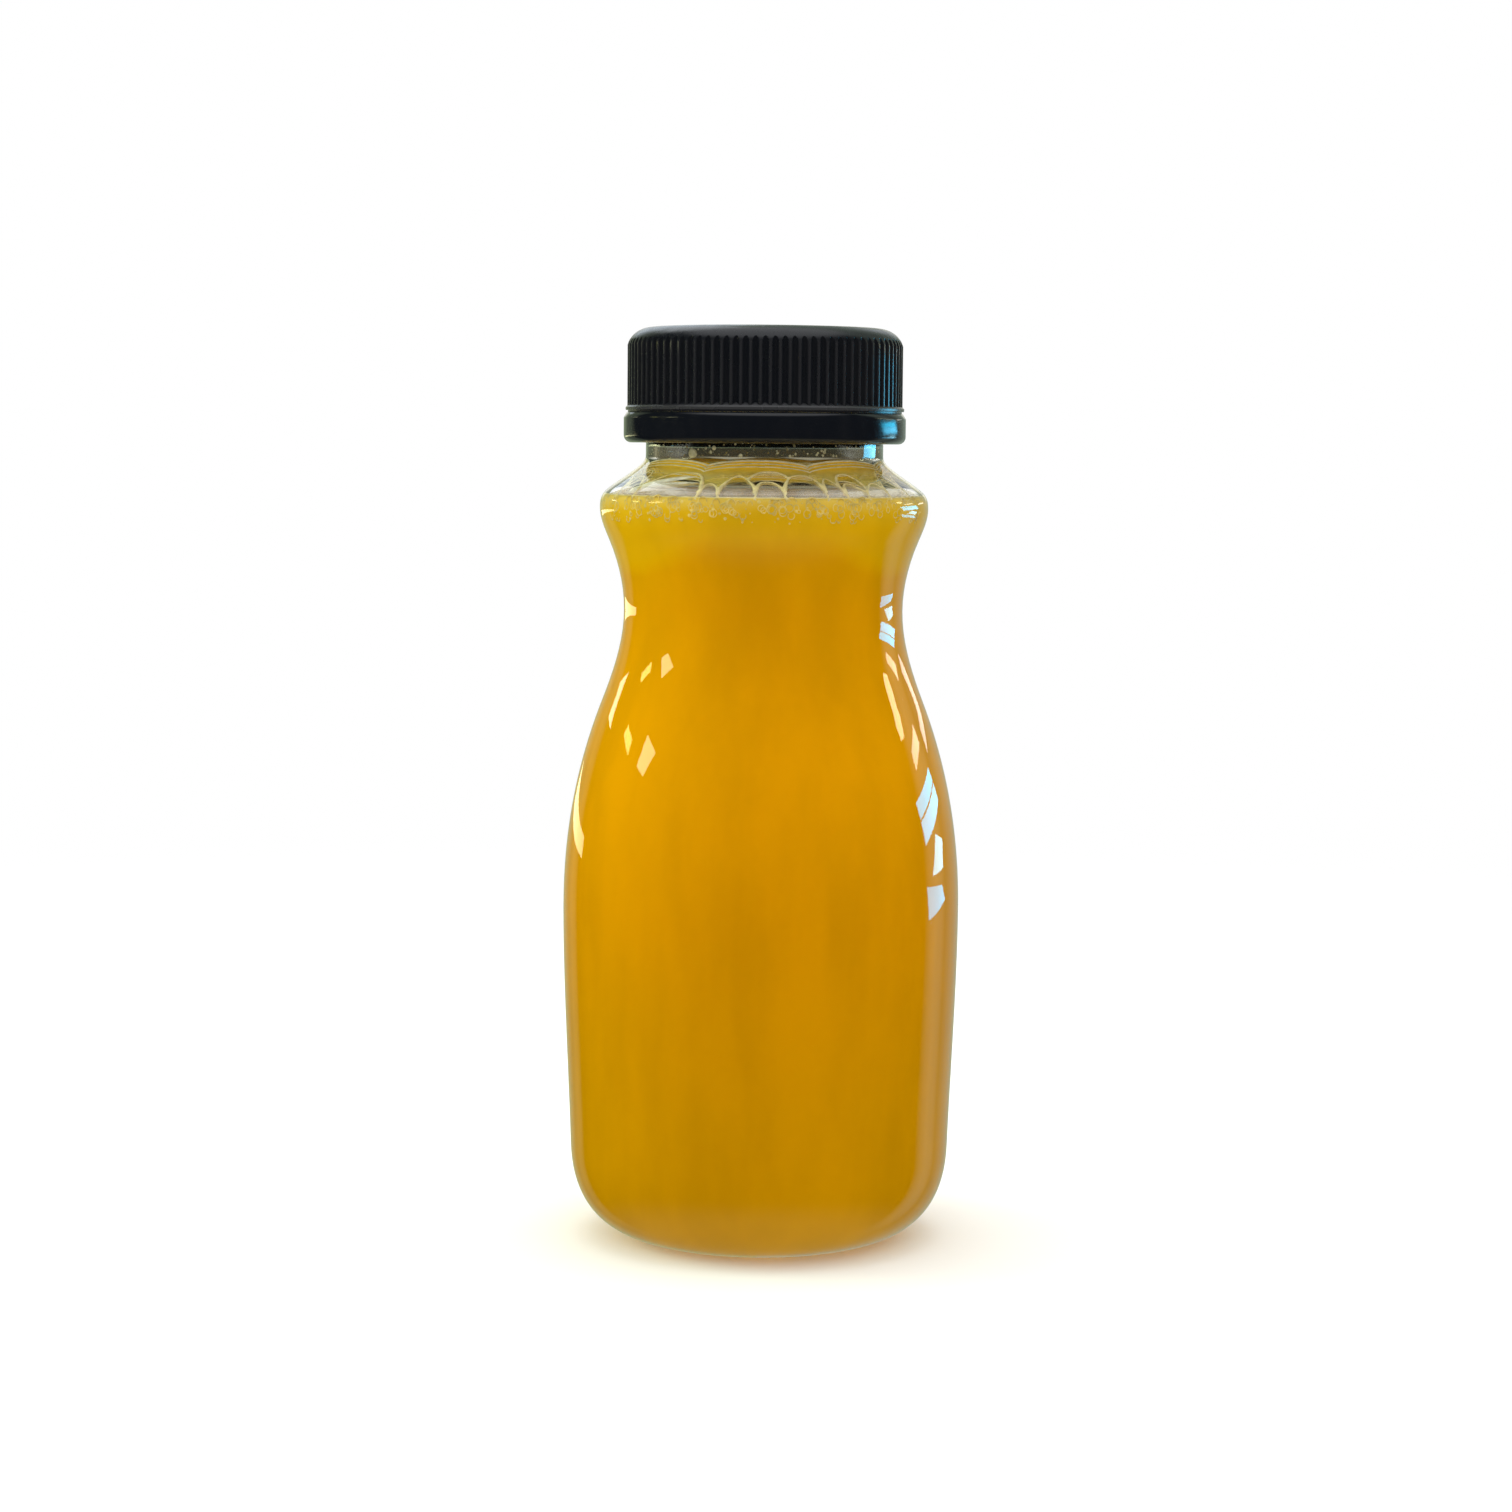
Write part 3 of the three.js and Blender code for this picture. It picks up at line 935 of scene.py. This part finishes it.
def make_cap(material):
    """The rounded crown comes down to the ribs and cuts each groove to a point, and a sloped ledge ends
    them below. The flange's edges are broken by small bevels."""
    crown_steps, skirt_steps = 16, 3
    centre_r, centre_z = CAP_RADIUS - CROWN_INSET, CAP_TOP - CROWN_HEIGHT
    lead = [(0, CAP_TOP), (CROWN_FLAT_RADIUS, CAP_TOP)]
    tail = [
        (FLANGE_RADIUS - 0.05, LEDGE_TOP + 0.02),
        (FLANGE_RADIUS, LEDGE_TOP - 0.05),
        (FLANGE_RADIUS, CAP_BOTTOM + 0.08),
        (FLANGE_RADIUS - 0.08, CAP_BOTTOM),
        (CAP_LIP_RADIUS, CAP_BOTTOM),
        (CAP_LIP_RADIUS, CAP_LIP_BOTTOM),
        (CAP_BORE_RADIUS, CAP_LIP_BOTTOM),
        (CAP_BORE_RADIUS, DISC_UNDERSIDE),
        (0, DISC_UNDERSIDE),
    ]
    # These points only hold a place: ribbed_shape works out theirs from the angle
    ribbed = [(CAP_RADIUS, LEDGE_TOP)] * (crown_steps + skirt_steps + 1)
    first, last = len(lead), len(lead) + len(ribbed) - 1

    def ribbed_shape(index, r, z, angle):
        if not first <= index <= last:
            return r, z
        edge = skirt_radius(angle)
        lowest = math.acos((edge - centre_r) / CROWN_WIDTH)
        step = index - first
        if step <= crown_steps:
            polar = math.pi / 2 + (lowest - math.pi / 2) * step / crown_steps
            return centre_r + CROWN_WIDTH * math.cos(polar), centre_z + CROWN_HEIGHT * math.sin(polar)
        top = centre_z + CROWN_HEIGHT * math.sin(lowest)
        bottom = LEDGE_TOP + (FLANGE_RADIUS - edge) * LEDGE_SLOPE
        return edge, top + (bottom - top) * (step - crown_steps) / skirt_steps

    points, faces = revolve([*lead, *ribbed, *tail], RIBS * SAMPLES_PER_RIB, shape=ribbed_shape)
    piece = new_piece("cap_shell", points, [f[::-1] for f in faces], material, "black_plastic")
    piece.data.set_sharp_from_angle(angle=SHARP_EDGE)
    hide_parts("cap")


def make_band(material):
    """A ring with a round lower edge, a bevel above and a lip inside that holds it under the bead."""
    lip_top = BAND_BOTTOM + BAND_LIP_HEIGHT
    bevel = BAND_TOP - BAND_BEVEL_HEIGHT
    round_r, round_z = BAND_RADIUS - BAND_BOTTOM_ROUND, BAND_BOTTOM + BAND_BOTTOM_ROUND
    profile = [
        (BAND_LIP_RADIUS, BAND_BOTTOM),
        *arc(round_r, round_z, BAND_BOTTOM_ROUND, BAND_BOTTOM_ROUND, -90, 0, 8),
        (BAND_RADIUS, bevel - 0.12),
        (BAND_RADIUS - 0.03, bevel + 0.02),
        (BAND_TOP_RADIUS + 0.05, BAND_TOP - 0.06),
        (BAND_TOP_RADIUS - 0.05, BAND_TOP),
        (BAND_BORE_RADIUS, BAND_TOP),
        (BAND_BORE_RADIUS, lip_top + BAND_LIP_SLOPE),
        (BAND_LIP_RADIUS, lip_top),
    ]
    points, faces = revolve(profile, BAND_SEGMENTS, closed=True)
    piece = new_piece("band_ring", points, faces, material, "black_plastic")
    piece.data.set_sharp_from_angle(angle=SHARP_EDGE)
    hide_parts("tamper_band")


# Studio

def lamp(name, place, target, size, watts, colour=(1, 1, 1)):
    """A soft round lamp that reflections and clear plastic don't show."""
    data = bpy.data.lights.new(name, "AREA")
    data.shape = "DISK"
    data.size = size
    data.energy = watts
    data.color = colour
    light = bpy.data.objects.new(name, data)
    bpy.context.scene.collection.objects.link(light)
    light.location = place
    light.rotation_euler = (Vector(target) - Vector(place)).to_track_quat("-Z", "Y").to_euler()
    light.visible_glossy = False
    light.visible_transmission = False


def panel(name, corners, colour, strength):
    """A bright window or lamp that only shows in reflections. Corners are (degrees round, degrees up)."""
    material, tree = new_material(name)
    output(tree, node(tree, "ShaderNodeEmission", {"Color": (*colour, 1), "Strength": strength}).outputs[0])
    material.cycles.emission_sampling = "NONE"
    points = []
    for azimuth, elevation in corners:
        e = math.radians(elevation)
        points.append(PANEL_CENTRE + at_angle(azimuth, math.cos(e), math.sin(e)) * PANEL_DISTANCE)
    mesh = bpy.data.meshes.new(name)
    mesh.from_pydata(points, [], [list(range(len(points)))])
    mesh.materials.append(material)
    made = bpy.data.objects.new(name, mesh)
    bpy.context.scene.collection.objects.link(made)
    made.visible_camera = False
    made.visible_diffuse = False
    made.visible_transmission = False
    made.visible_shadow = False


def make_windows():
    """The window on the right between its bars, and the pale strips by it."""
    sky = (0.05, 0.6, 0.95)
    pale_sky = (0.12, 0.61, 0.95)
    hazy_sky = (0.35, 0.8, 1.0)
    low_sky = (0.14, 0.62, 0.95)
    panel("window_top", ((108.4, 6.8), (131.8, 6), (134, 4.1), (110.5, 4.1)), sky, 9.5)
    panel("window_high", ((110.8, 3.8), (134.4, 3.8), (136.7, 1.6), (112.8, 0.5)), pale_sky, 9.5)
    panel("window_middle", ((125, 0.2), (134.2, -1.6), (131.9, -4.1), (118, -3.8)), hazy_sky, 7)
    panel("window_low", ((111.2, -4.6), (129.4, -5.5), (133.6, -7.1), (113.3, -8.5)), low_sky, 6.5)
    high_corners = ((108.3, 15.6), (113, 15), (116, 17), (114.5, 19), (110, 20.3), (107.8, 18))
    panel("strip_high", high_corners, (1.0, 1.0, 0.6), 6.5)
    panel("strip_middle", ((116, 9.5), (129, 9.5), (128, 12), (116, 12)), (1.0, 1.0, 0.75), 5)
    panel("strip_far", ((137, 6), (150, 6), (149, 8), (137, 8.5)), (1.0, 1.0, 0.9), 3)


def make_room_lamps():
    """The small lamps and the strip on the left, and the glows behind."""
    panel("lamp_near", ((-89, 16), (-82, 15.5), (-76, 21), (-87, 22)), (1.0, 1.0, 0.55), 6.5)
    panel("lamp_middle", ((-109, 16.2), (-99, 15.5), (-99, 18), (-108, 18)), (1.0, 1.0, 0.3), 7)
    panel("lamp_far", ((-127, 11.5), (-136, 10), (-136, 12), (-130, 13)), (1.0, 1.0, 0.65), 4.5)
    panel("strip_left", ((-160, -3.2), (-129, -3.2), (-129, -1), (-160, -1)), (1.0, 1.0, 0.55), 3)
    panel("glow_behind_left", ((-179, 16), (-155, 16), (-155, 38), (-179, 38)), (0.82, 0.92, 1.0), 1.7)
    panel("ceiling_behind", ((-172, 38), (-138, 38), (-138, 58), (-172, 58)), (0.9, 0.95, 1.0), 2.2)
    panel("glow_behind_right", ((158, 16), (170, 16), (170, 34), (158, 34)), (0.9, 0.96, 1.0), 1.0)


def elevated(tree, height, start, end):
    """How far a direction is on its way from one elevation to another, both in degrees."""
    return between(tree, height, math.sin(math.radians(start)), math.sin(math.radians(end)))


def reflected_room(tree, parts):
    """What gloss mirrors: a room with paler patches round its sides, a ceiling and a table."""
    toward = math_node(tree, "MULTIPLY", parts["Y"], -1.0)
    around = math_node(tree, "ARCTAN2", parts["X"], toward)
    share = math_node(tree, "ADD", math_node(tree, "DIVIDE", around, FULL_TURN), 0.5)
    stops = []
    for azimuth, level in ROOM_LEVELS:
        blue = 0.7 if azimuth < 0 else 0.9
        stops.append(((azimuth + 180) / 360, (0.9 * level, 1.1 * level, blue * level)))
    at_back = between(tree, parts["Y"], 0.93, 0.985)
    over_table = between(tree, parts["Z"], 0.02, 0.1)
    toward_back = math_node(tree, "MULTIPLY", at_back, over_table)
    sides = mix_colour(tree, toward_back, ramp(tree, share, stops), (1.3, 1.3, 1.15))
    with_ceiling = mix_colour(tree, elevated(tree, parts["Z"], 48, 64), sides, (1.1, 1.12, 1.15))
    return mix_colour(tree, elevated(tree, parts["Z"], -28, -62), with_ceiling, (0.45, 0.4, 0.2))


def room_seen_through(tree, parts):
    """What shows through the bottle: a dark room at eye level, paler below and above it, and brighter
    to the sides."""
    straight = ramp(
        tree,
        between_linear(tree, parts["Z"], -0.1, 0.5),
        (
            (0.05, (0.21, 0.19, 0.145)),
            (0.13, (0.026, 0.023, 0.016)),
            (0.23, (0.027, 0.024, 0.015)),
            (0.37, (0.08, 0.076, 0.048)),
            (0.5, (0.16, 0.15, 0.11)),
            (0.67, (1.0, 0.97, 0.92)),
        ),
    )
    bright = node(tree, "ShaderNodeVectorMath", {0: straight, "Scale": 1.6}, operation="SCALE").outputs[0]
    sideways = math_node(tree, "ABSOLUTE", parts["X"])
    beside = mix_colour(tree, between(tree, sideways, 0.5, 0.7), bright, (0.38, 0.35, 0.22))
    at_the_side = mix_colour(tree, between(tree, sideways, 0.85, 1.0), beside, (1, 0.98, 0.9))
    ahead = between(tree, parts["Y"], -0.1, 0.15)
    return mix_colour(tree, ahead, (0.02, 0.02, 0.015), at_the_side)


def make_world():
    """White to the camera, soft white to matt surfaces, and a room in reflections and through the
    bottle."""
    world = bpy.data.worlds.new("studio")
    world.use_nodes = True
    tree = world.node_tree
    tree.nodes.clear()
    parts = parts_of(tree, node(tree, "ShaderNodeTexCoord").outputs["Generated"])
    ray = node(tree, "ShaderNodeLightPath").outputs
    to_camera = mix_colour(tree, ray["Is Camera Ray"], SOFT_WHITE, (1, 1, 1))
    with_gloss = mix_colour(tree, ray["Is Glossy Ray"], to_camera, reflected_room(tree, parts))
    with_glass = mix_colour(tree, ray["Is Transmission Ray"], with_gloss, room_seen_through(tree, parts))
    scattered = math_node(tree, "GREATER_THAN", ray["Diffuse Depth"], 0.5)
    everything = mix_colour(tree, scattered, with_glass, SOFT_WHITE)
    background = node(tree, "ShaderNodeBackground", {"Color": everything, "Strength": 1.0})
    node(tree, "ShaderNodeOutputWorld", {"Surface": background.outputs[0]})
    bpy.context.scene.world = world


def make_floor():
    """A pale floor that fades into the white round it."""
    rings = [(FLOOR_RADIUS * (i / 24) ** 1.6, 0.0) for i in range(25)]
    points, faces = revolve(rings, 96)
    material, tree = new_material("floor")
    fade = between(tree, length_of(tree, object_point(tree)), 0.12, 0.5)
    output(tree, mix_shader(tree, fade, diffuse(tree, (0.9, 0.9, 0.89)), transparent(tree)))
    mesh = bpy.data.meshes.new("floor")
    mesh.from_pydata([(x * MM, y * MM, -0.1 * MM) for x, y, _ in points], [], faces)
    mesh.materials.append(material)
    floor = bpy.data.objects.new("floor", mesh)
    bpy.context.scene.collection.objects.link(floor)
    for rays in ("transmission", "glossy", "diffuse", "shadow"):
        setattr(floor, f"visible_{rays}", False)


def make_studio():
    scene = bpy.context.scene
    scene.view_settings.view_transform = "Standard"
    scene.cycles.max_bounces = 32
    scene.cycles.transmission_bounces = 24
    scene.cycles.transparent_max_bounces = 32
    make_world()
    make_floor()
    lamp("left", (-1.0, 0.18, 0.55), (0, 0, 0.06), 0.7, 4.2, (0.94, 1.28, 0.8))
    lamp("right", (0.9, 0.14, 0.9), (0, 0, 0.06), 0.7, 0.8, (0.84, 1.35, 0.8))
    lamp("front", (0.0, -1.1, 0.55), (0, 0, 0.06), 0.7, 1.55)
    lamp("top", (0.0, 0.1, 1.2), (0, 0, 0.05), 0.9, 3)
    make_windows()
    make_room_lamps()


make_camera()
make_bottle_wall(clear_plastic())
make_juice(orange_juice())
make_bubble_rims(pale_foam("rim_liquid", (0.95, 0.8, 0.42)))
# The pale crescent is a painted highlight, not foam
make_crescent(pale_foam("painted_highlight_liquid", (1.0, 0.95, 0.8)))
make_juice_film(clinging_juice())
make_film_ridges(pale_foam("ridge_liquid", (1.0, 0.88, 0.56)))
make_froth(pale_foam("froth_liquid", (0.92, 0.72, 0.24)))
make_bubble_films(bubble_skin())
# The drops' pale colour is painted light in place of refraction
make_droplets(pale_foam("painted_light_drop_liquid", (0.85, 0.78, 0.5), 0.75))
make_cap(black_plastic("ribbed_plastic", ribbed=True))
make_band(black_plastic("black_plastic"))
make_studio()
